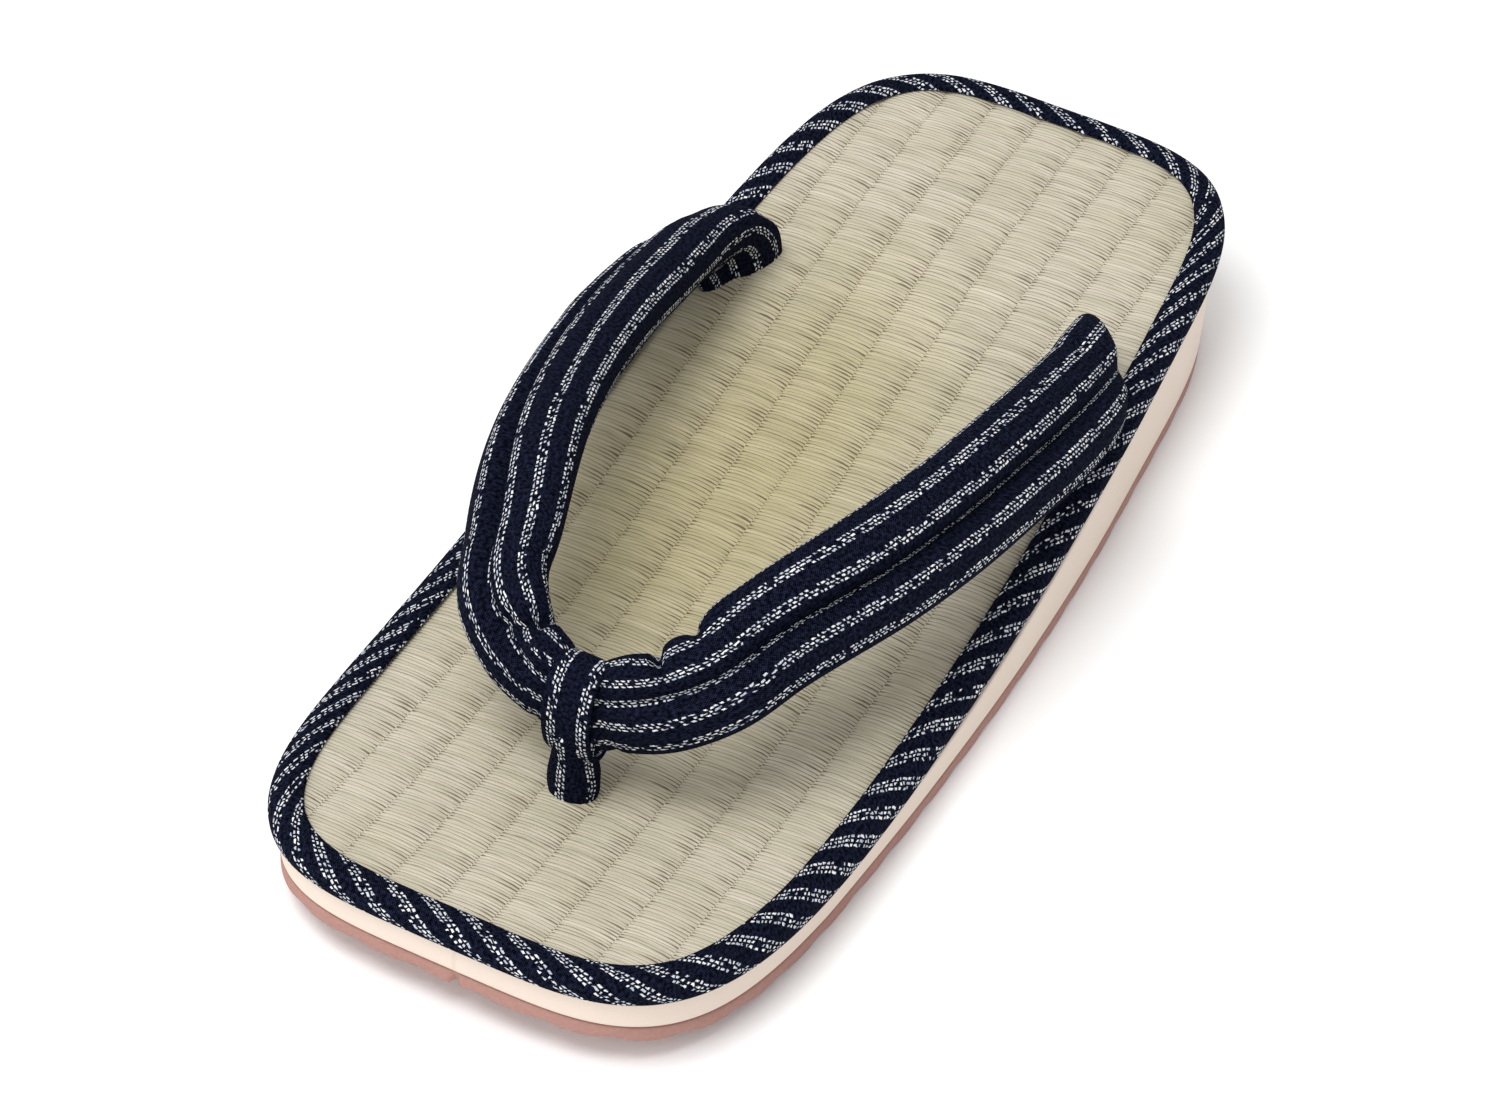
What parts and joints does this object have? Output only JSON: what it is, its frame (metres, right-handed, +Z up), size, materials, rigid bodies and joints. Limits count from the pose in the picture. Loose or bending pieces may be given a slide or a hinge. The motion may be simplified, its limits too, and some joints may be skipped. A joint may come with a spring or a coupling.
{
  "type": "rush grass sandal",
  "caption": "Rush-topped wedge sandal with a bound edge and padded cotton straps held by a toe post.",
  "frame": {"origin": "on the floor, under the middle of the sandal's box", "axes": "-Y towards the toe, +Y towards the heel, +X towards the sandal's left as worn, +Z up"},
  "size_m": [0.1018, 0.2506, 0.056],
  "materials": {
    "outsole": "matt brown foam rubber, fine grain",
    "midsole": "cream closed-cell foam, smooth cut edge",
    "mat": "woven rush stems, dry, slightly glossy",
    "binding": "navy cotton tape with pale flecked stripes",
    "strap": "navy cotton with pale flecked stripes, padded",
    "toe_post": "navy cotton with pale flecked stripes"
  },
  "bodies": {
    "root": {"outsole": "outsole", "midsole": "midsole", "mat": "mat", "binding": "binding", "strap": "strap", "toe_post": "toe_post"}
  },
  "joints": []
}
